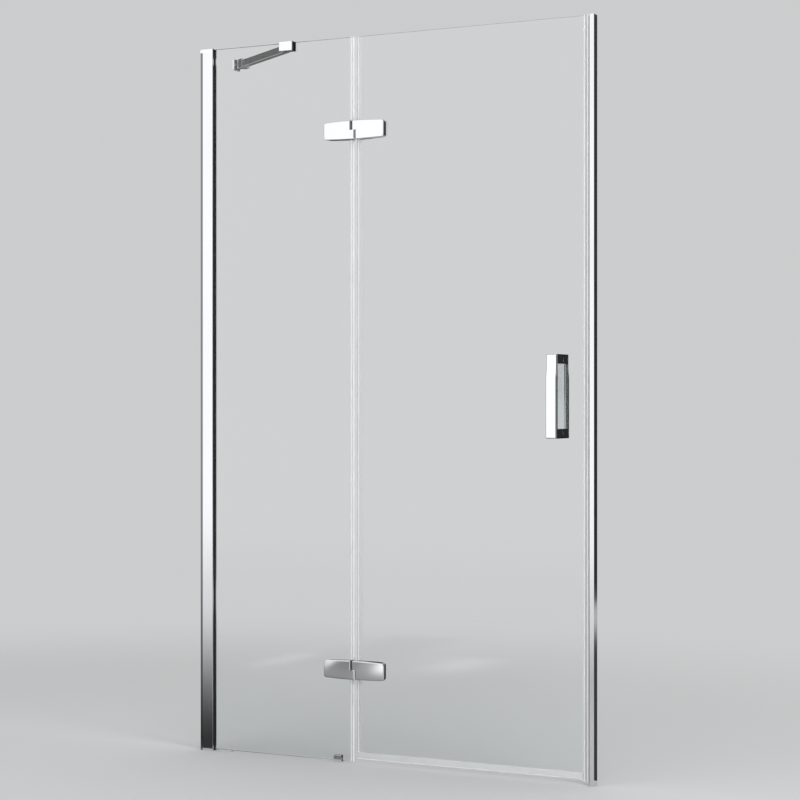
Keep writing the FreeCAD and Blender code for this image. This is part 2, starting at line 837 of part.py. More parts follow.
def hinge_cover(label, level, side, notch, bore_r):
    """Outer cover of one leaf, with its knuckle and blind screw holes."""
    piece = hinge_body(label, level)
    reach, mid, end = mm.hinge_reach, mm.hinge_half_mid, mm.hinge_half_end
    front, round_r = -hinge_front, mm.knuckle_r
    plan = [
        (side * reach, -pad_face),
        (-side * knuckle_back_x, -pad_face, Bow(round_r, -side, 1)),
        (-side * round_r, hinge_axis_y, Bow(round_r, -side, -1)),
        (0, front, Bow(bend_of(reach, mm.hinge_face_fall), 0, -1)),
        (side * reach, front + mm.hinge_face_fall),
    ]
    spare = mid + mm.overrun
    pad(piece, "XY_Plane", [plan], -spare, spare * 2)
    beyond = reach + mm.overrun
    bend = bend_of(reach, mid - end)
    outline = [
        (side * reach, side * end, Bow(bend, 0, side)),
        (0, side * mid),
        (-side * (round_r + mm.overrun), side * mid),
        (-side * (round_r + mm.overrun), side * half_split),
        (side * notch, side * half_split),
        (side * notch, -side * mid, Bow(bend, 0, -side)),
        (side * reach, -side * end),
    ]
    frame = box(-beyond, beyond, -spare - mm.overrun, spare + mm.overrun)
    pocket(piece, "XZ_Plane", [frame, outline], hinge_front + mm.overrun, hinge_front + mm.overrun)
    far = reach.value - TOUCH
    ease(piece, "Fillet", mm.hinge_corner, lambda e: along(e, INWARD) and abs(middle_of(e).x) > far)
    back = TOUCH - pad_face.value
    ease(piece, "Fillet", mm.hinge_round, lambda e: is_cover_rim(e, back, side * half_split.value))
    bore = [Circle(0, hinge_axis_y, bore_r)]
    depth = mid - half_split - mm.knuckle_roof
    pocket(piece, "XY_Plane", bore, side * half_split, depth, along_normal=side > 0)
    screw_holes = [Circle(x, 0, mm.hinge_shank_r + mm.screw_fit) for x in hinge_screw_places(side)]
    depth = mm.hinge_screw_bite + mm.blind_gap
    pocket(piece, "XZ_Plane", screw_holes, pad_face, depth, along_normal=True)


def is_cover_rim(edge, back, step):
    """True for an edge round the cover's front face, apart from the step between the knuckles."""
    point = middle_of(edge)
    on_back = all(vertex.Y > back - TOUCH * 2 for vertex in edge.Vertexes)
    on_step = all(abs(vertex.Z - step) < TOUCH for vertex in edge.Vertexes)
    return not (on_back or on_step or along(edge, INWARD) or (along(edge, UP) and point.y > back - TOUCH * 2))


def hinge_plate(label, level, side, glass_edge):
    """Back plate of one leaf, with counterbored screw holes."""
    piece = hinge_body(label, level)
    near = glass_edge - hinge_axis_x
    reach, mid, end = mm.hinge_reach - mm.hinge_plate_inset, mm.hinge_half_mid, mm.hinge_half_end
    bend = bend_of(reach, mid - end)
    outline = [
        (side * reach, side * end, Bow(bend, 0, side)),
        (near, side * mid),
        (near, -side * mid, Bow(bend, 0, -side)),
        (side * reach, -side * end),
    ]
    pad(piece, "XZ_Plane", [outline], -hinge_back, mm.hinge_plate_thick)
    far = reach.value - TOUCH
    ease(piece, "Fillet", mm.hinge_corner, lambda e: along(e, INWARD) and abs(middle_of(e).x) > far)
    face = hinge_back.value - TOUCH
    ease(piece, "Chamfer", mm.hinge_plate_chamfer, lambda e: middle_of(e).y > face)
    shank = mm.hinge_shank_r + mm.hinge_screw_gap
    head = mm.hinge_head_r + mm.hinge_screw_gap
    bores = [Circle(x, 0, head) for x in hinge_screw_places(side)]
    holes = [Circle(x, 0, shank) for x in hinge_screw_places(side)]
    pocket(piece, "XZ_Plane", bores, -hinge_back, mm.hinge_head_bore, along_normal=True)
    pocket(piece, "XZ_Plane", holes, -hinge_back, mm.hinge_plate_thick, along_normal=True)


def hinge_pads(label, level, side, glass_edge):
    """Two soft pads of one leaf, before and behind the glass."""
    piece = hinge_body(label, level)
    inset = mm.hinge_pad_inset
    near = glass_edge - hinge_axis_x + side * inset
    far = side * (mm.hinge_reach - mm.hinge_plate_inset - inset)
    half = mm.hinge_half_end - inset
    holes = [Circle(x, 0, mm.hinge_shank_r + mm.hinge_screw_gap) for x in hinge_screw_places(side)]
    for start in (half_glass, -pad_face):
        pad(piece, "XZ_Plane", [box(near, far, -half, half)] + holes, start, mm.pad_thick)


def hinge_screws(label, side):
    """Socket-head screws of both hinges' leaves on one side, from the back plates into the covers."""
    piece = body(label, x=hinge_axis_x)
    places = [(x, z) for z in hinge_heights().values() for x in hinge_screw_places(side)]
    seat = hinge_back - mm.hinge_head_bore
    face = seat + mm.hinge_head_tall
    heads = [Circle(x, z, mm.hinge_head_r) for x, z in places]
    shanks = [Circle(x, z, mm.hinge_shank_r) for x, z in places]
    drives = [hexagon(x, z, mm.hinge_hex_r) for x, z in places]
    pad(piece, "XZ_Plane", heads, -face, mm.hinge_head_tall)
    pad(piece, "XZ_Plane", shanks, -seat, seat + pad_face + mm.hinge_screw_bite)
    pocket(piece, "XZ_Plane", drives, -face, mm.hinge_hex_deep, along_normal=True)


def hinge_pin(level):
    piece = hinge_body(f"hinge_pin_{level}", level)
    foot = mm.knuckle_roof - mm.hinge_half_mid + mm.blind_gap
    pad(piece, "XY_Plane", [Circle(0, hinge_axis_y, mm.hinge_pin_r)], foot, -foot * 2)


def hinge_washer(level):
    """Thrust washer that the door's knuckle turns on."""
    piece = hinge_body(f"hinge_washer_{level}", level)
    ring = [
        Circle(0, hinge_axis_y, mm.knuckle_r - mm.washer_air),
        Circle(0, hinge_axis_y, mm.hinge_pin_r + mm.hinge_pin_fit),
    ]
    pad(piece, "XY_Plane", ring, -half_split, mm.knuckle_split - mm.washer_air)


def hinge_bush(level):
    """Plain bush in the door's knuckle."""
    piece = hinge_body(f"hinge_bush_{level}", level)
    inner = mm.hinge_pin_r + mm.hinge_pin_fit
    ring = [Circle(0, hinge_axis_y, inner + mm.bush_wall), Circle(0, hinge_axis_y, inner)]
    length = mm.hinge_half_mid - half_split - mm.knuckle_roof
    pad(piece, "XY_Plane", ring, half_split, length)


def hinges():
    fixed_bore = mm.hinge_pin_r + mm.hinge_pin_press
    door_bore = mm.hinge_pin_r + mm.hinge_pin_fit + mm.bush_wall + mm.hinge_pin_press
    for level in HINGES:
        hinge_cover(f"hinge_fixed_cover_{level}", level, -1, mm.knuckle_slot, fixed_bore)
        hinge_cover(f"hinge_door_cover_{level}", level, 1, seam_x, door_bore)
        hinge_plate(f"hinge_fixed_plate_{level}", level, -1, mm.fixed_glass_end)
        hinge_plate(f"hinge_door_plate_{level}", level, 1, door_glass_start)
        hinge_pads(f"hinge_fixed_pads_{level}", level, -1, mm.fixed_glass_end)
        hinge_pads(f"hinge_door_pads_{level}", level, 1, door_glass_start)
        hinge_pin(level)
        hinge_washer(level)
        hinge_bush(level)
    hinge_screws("hinge_fixed_screws", -1)
    hinge_screws("hinge_door_screws", 1)


# Door glass and its handles

def stud_heights():
    return rows(2, mm.handle_stud_pitch, 0)


def door_glass():
    handle_holes = [Circle(handle_x, mm.handle_z + z, mm.handle_glass_hole_r) for z in stud_heights()]
    holes = hinge_glass_holes(1) + handle_holes
    glass_panel("door_glass", door_glass_start, door_glass_end, mm.door_glass_bottom, holes)


def handle(label, way):
    """Bow handle, way -1 outside and way 1 inside: two arms and a grip.

    The grip's face is set back near its top, and its back is straight and crowned across.
    """
    piece = body(label, x=handle_x - mm.handle_wide / 2, z=mm.handle_z)
    half, out, grip = mm.handle_tall / 2, mm.handle_out, mm.handle_grip
    back = mm.handle_top_set_back
    high, low = mm.handle_bend_top, mm.handle_bend_low
    middle = (high + low) / 2
    bend = ((high - low) * (high - low) + back * back) / (back * 4)
    inner_top = half - mm.handle_arm
    near, inner = pad_face, out - grip
    outward, inward = Bow(bend, way, 0), Bow(bend, -way, 0)
    outline = [
        (way * near, -half),
        (way * out, -half),
        (way * out, low, outward),
        (way * (out - back / 2), middle, inward),
        (way * (out - back), high),
        (way * (out - back), half),
        (way * near, half),
        (way * near, inner_top),
        (way * inner, inner_top),
        (way * inner, -inner_top),
        (way * near, -inner_top),
    ]
    pad(piece, "YZ_Plane", [outline], 0, mm.handle_wide)
    skin, end = (out - back).value - TOUCH, half.value - TOUCH
    ease(piece, "Fillet", mm.handle_round,
         lambda e: abs(middle_of(e).y) > skin and (not along(e, ACROSS) or abs(middle_of(e).z) > end))
    side, wide = way * (inner + mm.handle_back_crown), mm.handle_wide
    crown = Bow(bend_of(wide / 2, mm.handle_back_crown), 0, -way)
    beside = [
        (0, side, crown),
        (wide, side),
        (wide + mm.overrun, side),
        (wide + mm.overrun, way * near),
        (-mm.overrun, way * near),
        (-mm.overrun, side),
    ]
    pocket(piece, "XY_Plane", [beside], inner_top, inner_top * 2)
    studs = [Circle(mm.handle_wide / 2, z, mm.handle_stud_r + mm.handle_fit) for z in stud_heights()]
    depth = mm.handle_stud_bite + mm.blind_gap
    pocket(piece, "XZ_Plane", studs, -way * near, depth, along_normal=way < 0)
    grubs = [Circle(way * mm.handle_grub_y, z, mm.handle_grub_r + mm.screw_fit) for z in stud_heights()]
    pocket(piece, "YZ_Plane", grubs, 0, mm.handle_wide / 2, along_normal=True)


def handle_studs():
    piece = body("handle_studs", x=handle_x, z=mm.handle_z)
    reach = pad_face + mm.handle_stud_bite
    pad(piece, "XZ_Plane", [Circle(0, z, mm.handle_stud_r) for z in stud_heights()], -reach, reach * 2)


def handle_washers():
    """Clear washers on both faces of the door glass."""
    piece = body("handle_washers", x=handle_x, z=mm.handle_z)
    rings = []
    for z in stud_heights():
        rings += [Circle(0, z, mm.handle_washer_r), Circle(0, z, mm.handle_stud_r + mm.handle_fit)]
    for start in (half_glass, -pad_face):
        pad(piece, "XZ_Plane", rings, start, mm.pad_thick)


def handle_grub_screws():
    piece = body("handle_grub_screws", x=handle_x, z=mm.handle_z)
    tip = mm.handle_stud_r + mm.handle_fit
    places = [(way * mm.handle_grub_y, z) for way in (-1, 1) for z in stud_heights()]
    screws = [Circle(y, z, mm.handle_grub_r) for y, z in places]
    drives = [hexagon(y, z, mm.grub_hex_r) for y, z in places]
    start = -tip - mm.handle_grub_long
    pad(piece, "YZ_Plane", screws, start, mm.handle_grub_long)
    pocket(piece, "YZ_Plane", drives, start, mm.grub_hex_deep, along_normal=True)


# Support bar from the side wall to the fixed glass

def support_flange():
    piece = body("support_flange", y=mm.flange_y, z=bar_z)
    wide, tall = mm.flange_wide / 2, mm.flange_tall / 2
    pad(piece, "YZ_Plane", [box(-wide, wide, -tall, tall)], 0, mm.flange_thick)
    ease(piece, "Fillet", mm.flange_round, lambda e: middle_of(e).x > TOUCH)
    reach = box(mm.flange_thick, mm.pivot_x, -mm.lug_r, mm.lug_r)
    for foot in (-mm.lug_inner - mm.lug_thick, mm.lug_inner):
        pad(piece, "XY_Plane", [reach], foot, mm.lug_thick)
        pad(piece, "XY_Plane", [Circle(mm.pivot_x, 0, mm.lug_r)], foot, mm.lug_thick)
    top = mm.lug_inner + mm.lug_thick
    pocket(piece, "XY_Plane", [Circle(mm.pivot_x, 0, mm.pivot_r + mm.pivot_fit)], top, top * 2)
    holes = [Circle(y, 0, mm.flange_hole_r) for y in rows(2, mm.flange_hole_pitch, 0)]
    pocket(piece, "YZ_Plane", holes, mm.flange_thick, mm.flange_thick)


def pivot_pin(label, x, y):
    piece = body(label, x=x, y=y, z=bar_z)
    top = mm.lug_inner + mm.lug_thick
    pad(piece, "XY_Plane", [Circle(0, 0, mm.pivot_r)], -top, top * 2)


def on_bar(label):
    """A body whose X axis runs along the support bar, from the wall pivot."""
    return body(label, x=mm.pivot_x, y=mm.flange_y, z=bar_z, turn=bar_turn)


def square(side):
    return box(-side / 2, side / 2, -side / 2, side / 2)


def support_socket():
    piece = on_bar("support_socket")
    collar_end = mm.socket_start + mm.socket_long
    pad(piece, "YZ_Plane", [square(mm.socket_side)], mm.socket_start, mm.socket_long)
    ease(piece, "Fillet", mm.socket_round, lambda e: True)
    bore = square(mm.bar_side + mm.socket_fit * 2)
    pocket(piece, "YZ_Plane", [bore], collar_end, mm.socket_long - mm.socket_floor)
    tongue = box(0, mm.socket_start + mm.overrun, -mm.lug_r, mm.lug_r)
    pad(piece, "XY_Plane", [tongue], -tongue_half, tongue_half * 2)
    pad(piece, "XY_Plane", [Circle(0, 0, mm.lug_r)], -tongue_half, tongue_half * 2)
    hole = [Circle(0, 0, mm.pivot_r + mm.pivot_fit)]
    pocket(piece, "XY_Plane", hole, tongue_half, tongue_half * 2)
    grub = [Circle(mm.bar_grub_at, 0, mm.bar_grub_r + mm.screw_fit)]
    pocket(piece, "XY_Plane", grub, -mm.socket_side / 2, mm.socket_side / 2, along_normal=True)


def support_grub_screw():
    piece = on_bar("support_grub_screw")
    foot = -mm.socket_side / 2
    length = (mm.socket_side - mm.bar_side) / 2
    pad(piece, "XY_Plane", [Circle(mm.bar_grub_at, 0, mm.bar_grub_r)], foot, length)
    drive = [hexagon(mm.bar_grub_at, 0, mm.grub_hex_r)]
    pocket(piece, "XY_Plane", drive, foot, mm.grub_hex_deep, along_normal=True)


def support_bar():
    piece = on_bar("support_bar")
    start = mm.socket_start + mm.socket_floor + mm.bar_end_gap
    pad(piece, "YZ_Plane", [square(mm.bar_side)], start, bar_end - start)
    ease(piece, "Fillet", mm.bar_corner, lambda e: along(e, ACROSS))
    bore = square(mm.bar_side - mm.bar_wall * 2)
    pocket(piece, "YZ_Plane", [bore], bar_end, bar_end - start)


def support_bar_end():
    """Plug in the far end of the bar, with the tongue that the glass clamp holds."""
    piece = on_bar("support_bar_end")
    plug = square(mm.bar_side - mm.bar_wall * 2 - mm.plug_fit * 2)
    pad(piece, "YZ_Plane", [plug], bar_end - mm.plug_long, mm.plug_long)
    pad(piece, "YZ_Plane", [square(mm.bar_side)], bar_end, mm.plug_collar)
    half = mm.clamp_lug_r
    tongue = box(bar_end + mm.plug_collar, bar_reach, -half, half)
    pad(piece, "XY_Plane", [tongue], -tongue_half, tongue_half * 2)
    pad(piece, "XY_Plane", [Circle(bar_reach, 0, half)], -tongue_half, tongue_half * 2)
    hole = [Circle(bar_reach, 0, mm.pivot_r + mm.pivot_fit)]
    pocket(piece, "XY_Plane", hole, tongue_half, tongue_half * 2)


def glass_clamp():
    piece = body("glass_clamp")
    start = clamp_x - mm.clamp_wide / 2
    front = pad_face + mm.clamp_front_thick
    back = pad_face + mm.clamp_back_thick
    floor = mm.glass_top + mm.clamp_air
    roof = floor + mm.clamp_roof
    outline = [
        (-front, clamp_bottom),
        (-pad_face, clamp_bottom),
        (-pad_face, floor),
        (pad_face, floor),
        (pad_face, clamp_bottom),
        (back, clamp_bottom),
        (back, roof),
        (-front, roof),
    ]
    pad(piece, "YZ_Plane", [outline], start, mm.clamp_wide)
    face = -front.value + TOUCH
    top_face = roof.value - TOUCH
    ease(piece, "Fillet", mm.clamp_round, lambda e: middle_of(e).y < face or middle_of(e).z > top_face)
    lug_x, lug_y, radius = clamp_pivot_x, mm.clamp_pivot_y, mm.clamp_lug_r
    for foot in (-mm.lug_inner - mm.lug_thick, mm.lug_inner):
        root = box(lug_x - radius, lug_x + radius, back, lug_y)
        pad(piece, "XY_Plane", [root], bar_z + foot, mm.lug_thick)
        pad(piece, "XY_Plane", [Circle(lug_x, lug_y, radius)], bar_z + foot, mm.lug_thick)
    top = mm.lug_inner + mm.lug_thick
    hole = [Circle(lug_x, lug_y, mm.pivot_r + mm.pivot_fit)]
    pocket(piece, "XY_Plane", hole, bar_z + top, top * 2)
    grubs = [Circle(clamp_grub_x, z, mm.clamp_grub_r + mm.screw_fit) for z in clamp_grub_heights()]
    pocket(piece, "XZ_Plane", grubs, -back, mm.clamp_back_thick, along_normal=True)


def clamp_grub_heights():
    return rows(2, mm.clamp_grub_pitch, (clamp_bottom + mm.glass_top) / 2)


def glass_clamp_pads():
    piece = body("glass_clamp_pads")
    half = mm.clamp_wide / 2 - mm.clamp_pad_inset
    outline = box(clamp_x - half, clamp_x + half, clamp_bottom + mm.clamp_pad_inset, mm.glass_top)
    for start in (half_glass, -pad_face):
        pad(piece, "XZ_Plane", [outline], start, mm.pad_thick)


def glass_clamp_screws():
    piece = body("glass_clamp_screws")
    places = [(clamp_grub_x, z) for z in clamp_grub_heights()]
    back = pad_face + mm.clamp_back_thick
    pad(piece, "XZ_Plane", [Circle(x, z, mm.clamp_grub_r) for x, z in places], -back, mm.clamp_back_thick)
    drives = [hexagon(x, z, mm.grub_hex_r) for x, z in places]
    pocket(piece, "XZ_Plane", drives, -back, mm.grub_hex_deep, along_normal=True)


def build():
    wall_channel()
    glazing_profile()
    profile_lock_screws()
    profile_end_cap()
    glazing_gasket("glazing_gasket_front", -1)
    glazing_gasket("glazing_gasket_back", 1)
    fixed_glass()
    setting_block()
    floor_clip()
    floor_clip_liner()
    fixed_edge_seals()
    door_glass()
    door_hinge_seals()
    bottom_seal()
    closing_seal()
    closing_magnet()
    strike_profile()
    strike_carrier()
    strike_magnet()
    hinges()
    handle("outer_handle", -1)
    handle("inner_handle", 1)
    handle_studs()
    handle_washers()
    handle_grub_screws()
    support_flange()
    pivot_pin("wall_pivot_pin", mm.pivot_x, mm.flange_y)
    pivot_pin("clamp_pivot_pin", clamp_pivot_x, mm.clamp_pivot_y)
    support_socket()
    support_grub_screw()
    support_bar()
    support_bar_end()
    glass_clamp()
    glass_clamp_pads()
    glass_clamp_screws()


def check():
    """Stops if any object failed, a shape is not whole, or a cut removed nothing."""
    for thing in doc.Objects:
        if "Invalid" in thing.State or "Error" in thing.State:
            raise RuntimeError(f"{thing.Label} failed: {thing.State}")
    for feature, base in pockets:
        if not feature.Shape.Volume < base.Shape.Volume - TOUCH:
            raise RuntimeError(f"{feature.Label} cuts nothing")
    for piece in pieces:
        if piece.Shape.isNull() or not piece.Shape.isValid():
            raise RuntimeError(f"{piece.Label} has no valid shape")


def export():
    os.makedirs("parts", exist_ok=True)
    for piece in pieces:
        piece.Shape.exportStep(f"parts/{piece.Label}.step")
        print(piece.Label, len(piece.Shape.Solids), round(piece.Shape.Volume, 1))


build()
doc.recompute()
check()
export()
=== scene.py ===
import json
import math

import bpy
import numpy as np
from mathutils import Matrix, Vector
from mathutils.geometry import tessellate_polygon

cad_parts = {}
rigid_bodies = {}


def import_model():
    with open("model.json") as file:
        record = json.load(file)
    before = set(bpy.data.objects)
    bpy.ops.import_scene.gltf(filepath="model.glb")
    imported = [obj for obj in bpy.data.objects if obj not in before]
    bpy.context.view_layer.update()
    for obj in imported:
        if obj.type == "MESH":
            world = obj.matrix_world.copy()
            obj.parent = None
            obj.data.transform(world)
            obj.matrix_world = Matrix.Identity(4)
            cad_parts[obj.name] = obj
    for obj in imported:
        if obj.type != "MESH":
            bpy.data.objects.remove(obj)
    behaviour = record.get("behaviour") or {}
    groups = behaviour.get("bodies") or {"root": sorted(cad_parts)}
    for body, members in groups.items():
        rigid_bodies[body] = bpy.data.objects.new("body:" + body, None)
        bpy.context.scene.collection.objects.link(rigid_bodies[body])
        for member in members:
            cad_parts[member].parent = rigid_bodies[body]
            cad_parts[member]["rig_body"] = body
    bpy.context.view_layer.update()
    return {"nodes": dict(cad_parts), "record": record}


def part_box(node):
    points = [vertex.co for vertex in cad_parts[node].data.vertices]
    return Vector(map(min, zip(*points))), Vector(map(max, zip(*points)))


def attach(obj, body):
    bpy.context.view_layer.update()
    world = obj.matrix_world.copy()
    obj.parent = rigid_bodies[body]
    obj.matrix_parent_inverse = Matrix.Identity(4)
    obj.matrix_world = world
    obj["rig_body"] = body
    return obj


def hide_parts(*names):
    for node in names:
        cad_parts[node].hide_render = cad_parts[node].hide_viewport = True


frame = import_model()
nodes = frame["nodes"]

# Colours as a swatch shows them, in linear light, but the channel's grey is darkened as painted shade
PALE = (0.60, 0.605, 0.61)
CHROME = (0.80, 0.81, 0.83)
ANODISED = (0.78, 0.79, 0.81)
# The channel's aluminium grey, darkened as painted shade of the wall beside it, which is left out
MILL_FINISH_WITH_PAINTED_SHADE = (0.20, 0.205, 0.215)
STEEL = (0.55, 0.55, 0.56)
GLASS = (0.965, 0.985, 0.98)
CLEAR_VINYL = (0.985, 0.99, 0.99)
# Cloudy white of clear vinyl, used partly as its own cloudiness and partly as painted highlight
MILKY_VINYL_AND_HIGHLIGHT = (0.96, 0.965, 0.965)
NATURAL_NYLON = (0.86, 0.86, 0.83)
WHITE_ACETAL = (0.80, 0.80, 0.78)
DARK_RUBBER = (0.03, 0.031, 0.033)
BLACK_RUBBER = (0.018, 0.018, 0.02)
GREY_FERRITE = (0.42, 0.42, 0.43)

# A wiped surface is rougher where soft noise is above this value, by this many times what is above it
CLEAN_BELOW = 0.45
WIPED_GAIN = 4

# Clear vinyl turns cloudy white between these distances from the glass's middle plane, in metres, and
# between these values of a Layer Weight's facing, which is 0 straight on and 1 along the surface. That white
# is partly the vinyl's own cloudiness and partly painted highlight, the bright lines along its beads and
# edges
MILKY_AND_HIGHLIGHT_OUT = (0.00522, 0.00532)
MILKY_AND_HIGHLIGHT_ALONG = (0.28, 0.62)

# Sizes that the seals share, in millimetres, with faces measured from the glass's middle plane
MM_PER_METRE = 1000
SEAT_FACE = 4.05
SEAT_GAP = 0.05
LEG_FACE = 5.0
BEAD_FACE = 5.4
BEAD_FLANK = 0.3
CRISP, EASED, CROWN_ARC = 0.25, 0.3, 0.35

# The cards stand, lie or are turned about Z, and a sharp edge is a very short fade
STANDING = (0, 0, 0)
LYING = (math.radians(90), 0, 0)
SHARP = 0.001

# The share that a card's mirror image loses at each glass face, and the most faces that count
FACE_LOSS = 0.1
MOST_FACES = 4

# The floor: its middle, its level just under the object's feet, the points on each of its circles, and how
# many times further it reaches than where it turns into the surroundings. In metres.
FLOOR_CENTRE = (0.6, 0.1)
FLOOR_LEVEL = -0.0002
FLOOR_STEPS = 96
FLOOR_REACH = 4

# The camera's place and farthest sight in metres, its level heading, and its lens and sensor in millimetres
CAMERA_PLACE = (2.857, -4.639, 1.0)
CAMERA_HEADING = (-0.4332, 0.9013, 0.0)
LENS = 85.1
SENSOR = 36
FARTHEST = 100


# Shader nodes

def maths(tree, operation, *values):
    """One Math node. A value is a socket or a plain number."""
    node = tree.nodes.new("ShaderNodeMath")
    node.operation = operation
    for socket, value in zip(node.inputs, values):
        if isinstance(value, (int, float)):
            socket.default_value = value
        else:
            tree.links.new(value, socket)
    return node.outputs[0]


def smooth_step(tree, value, start, end):
    """0 at the start, 1 at the end, and a soft curve between them."""
    node = tree.nodes.new("ShaderNodeMapRange")
    node.interpolation_type = "SMOOTHSTEP"
    node.inputs["From Min"].default_value = start
    node.inputs["From Max"].default_value = end
    tree.links.new(value, node.inputs["Value"])
    return node.outputs[0]


def own_place(tree):
    """The socket of object coordinates."""
    return tree.nodes.new("ShaderNodeTexCoord").outputs["Object"]


def own_axes(tree):
    """The three object coordinates as sockets X, Y and Z."""
    axes = tree.nodes.new("ShaderNodeSeparateXYZ")
    tree.links.new(own_place(tree), axes.inputs[0])
    return axes.outputs


def mixed(tree, share, first, second):
    """Two shaders mixed: only the first at a share of 0, only the second at 1."""
    mix = tree.nodes.new("ShaderNodeMixShader")
    tree.links.new(share, mix.inputs[0])
    tree.links.new(first.outputs[0], mix.inputs[1])
    tree.links.new(second.outputs[0], mix.inputs[2])
    return mix


def seen_ray(tree):
    """1 for a ray that shows the surroundings: straight from the camera, mirrored or through glass."""
    path = tree.nodes.new("ShaderNodeLightPath")
    mirrored = maths(tree, "MAXIMUM", path.outputs["Is Glossy Ray"], path.outputs["Is Transmission Ray"])
    return maths(tree, "MAXIMUM", path.outputs["Is Camera Ray"], mirrored)


def new_material(name):
    """A new material, its nodes and its Principled shader."""
    made = bpy.data.materials.new(name)
    made.use_nodes = True
    return made, made.node_tree, made.node_tree.nodes["Principled BSDF"]


def show(tree, surface, end="Material Output"):
    """Makes a shader the surface of a material, or of the world."""
    tree.links.new(surface.outputs[0], tree.nodes[end].inputs["Surface"])


# Shader groups shared by the finishes

def new_group(name, inputs, outputs):
    """An empty shader group with float, vector or colour sockets, and its two end nodes."""
    tree = bpy.data.node_groups.new(name, "ShaderNodeTree")
    for label, kind, value in inputs:
        socket = tree.interface.new_socket(label, in_out="INPUT", socket_type=f"NodeSocket{kind}")
        socket.default_value = value
    for label, kind in outputs:
        tree.interface.new_socket(label, in_out="OUTPUT", socket_type=f"NodeSocket{kind}")
    return tree, tree.nodes.new("NodeGroupInput"), tree.nodes.new("NodeGroupOutput")


def noise_in(tree, densities, octaves):
    """Noise round a half on object coordinates, with so many marks a metre along each axis."""
    stretch = tree.nodes.new("ShaderNodeVectorMath")
    stretch.operation = "MULTIPLY"
    noise = tree.nodes.new("ShaderNodeTexNoise")
    noise.inputs["Scale"].default_value = 1
    noise.inputs["Detail"].default_value = octaves
    tree.links.new(own_place(tree), stretch.inputs[0])
    tree.links.new(densities, stretch.inputs[1])
    tree.links.new(stretch.outputs[0], noise.inputs["Vector"])
    return noise.outputs["Fac"]


def wiped_group():
    """Roughness that a wiping hand leaves uneven.

    It is the base, plus the change times the gain times what soft noise has above its clean value.
    """
    inputs = [("Base", "Float", 0.1), ("Change", "Float", 0.05), ("Stretch", "Vector", (9, 9, 4))]
    tree, start, end = new_group("wiped", inputs, [("Roughness", "Float")])
    soft = noise_in(tree, start.outputs["Stretch"], octaves=3)
    level = maths(tree, "MULTIPLY", maths(tree, "SUBTRACT", soft, CLEAN_BELOW), start.outputs["Change"])
    spread = maths(tree, "MULTIPLY", level, WIPED_GAIN)
    total = maths(tree, "ADD", start.outputs["Base"], maths(tree, "MAXIMUM", spread, 0))
    tree.links.new(total, end.inputs["Roughness"])
    return tree


def grain_group():
    """Height of a fine grain or, where the stretch is uneven, of lines drawn along one axis."""
    tree, start, end = new_group("grain", [("Stretch", "Vector", (900, 900, 900))], [("Height", "Float")])
    tree.links.new(noise_in(tree, start.outputs["Stretch"], octaves=2), end.inputs["Height"])
    return tree


def tone_group():
    """A colour that varies a little from place to place: colour times one less change times soft noise."""
    inputs = [
        ("Colour", "Color", (1, 1, 1, 1)), ("Change", "Float", 0.06), ("Stretch", "Vector", (14, 14, 5)),
    ]
    tree, start, end = new_group("tone", inputs, [("Colour", "Color")])
    soft = noise_in(tree, start.outputs["Stretch"], octaves=2)
    shade = maths(tree, "SUBTRACT", 1, maths(tree, "MULTIPLY", soft, start.outputs["Change"]))
    scale = tree.nodes.new("ShaderNodeVectorMath")
    scale.operation = "SCALE"
    tree.links.new(start.outputs["Colour"], scale.inputs[0])
    tree.links.new(shade, scale.inputs["Scale"])
    tree.links.new(scale.outputs[0], end.inputs["Colour"])
    return tree


WIPED, GRAIN, TONE = wiped_group(), grain_group(), tone_group()


# Finishes

def place_group(tree, group, **values):
    """Puts a shader group in a material, with its own values."""
    node = tree.nodes.new("ShaderNodeGroup")
    node.node_tree = group
    for label, value in values.items():
        node.inputs[label].default_value = value
    return node


def finish(name, colour, rough, uneven, grain, depth, metal=0, tone=0.06, clear=0.0, index=1.45, milky_and_highlight=0.0):
    """A finish: toned colour, wiped roughness, and a grain of so many marks a metre and so many metres deep.

    Clear is the share of light that passes, and the last argument how much cloudy white shows where vinyl
    stands out past its legs, partly as its own cloudiness and partly as painted highlight.
    """
    made, tree, shader = new_material(name)
    shader.inputs["Metallic"].default_value = metal
    shader.inputs["IOR"].default_value = index
    shader.inputs["Transmission Weight"].default_value = clear
    toned = place_group(tree, TONE, Colour=(*colour, 1), Change=tone)
    wiped = place_group(tree, WIPED, Base=rough, Change=uneven)
    drawn = place_group(tree, GRAIN, Stretch=grain)
    bump = tree.nodes.new("ShaderNodeBump")
    bump.inputs["Distance"].default_value = depth
    tree.links.new(toned.outputs["Colour"], shader.inputs["Base Color"])
    tree.links.new(wiped.outputs["Roughness"], shader.inputs["Roughness"])
    tree.links.new(drawn.outputs["Height"], bump.inputs["Height"])
    tree.links.new(bump.outputs["Normal"], shader.inputs["Normal"])
    surface = milky_vinyl_and_highlight(tree, shader, milky_and_highlight) if milky_and_highlight else shader
    if clear:
        let_lamps_through(tree, surface, colour)
    return made


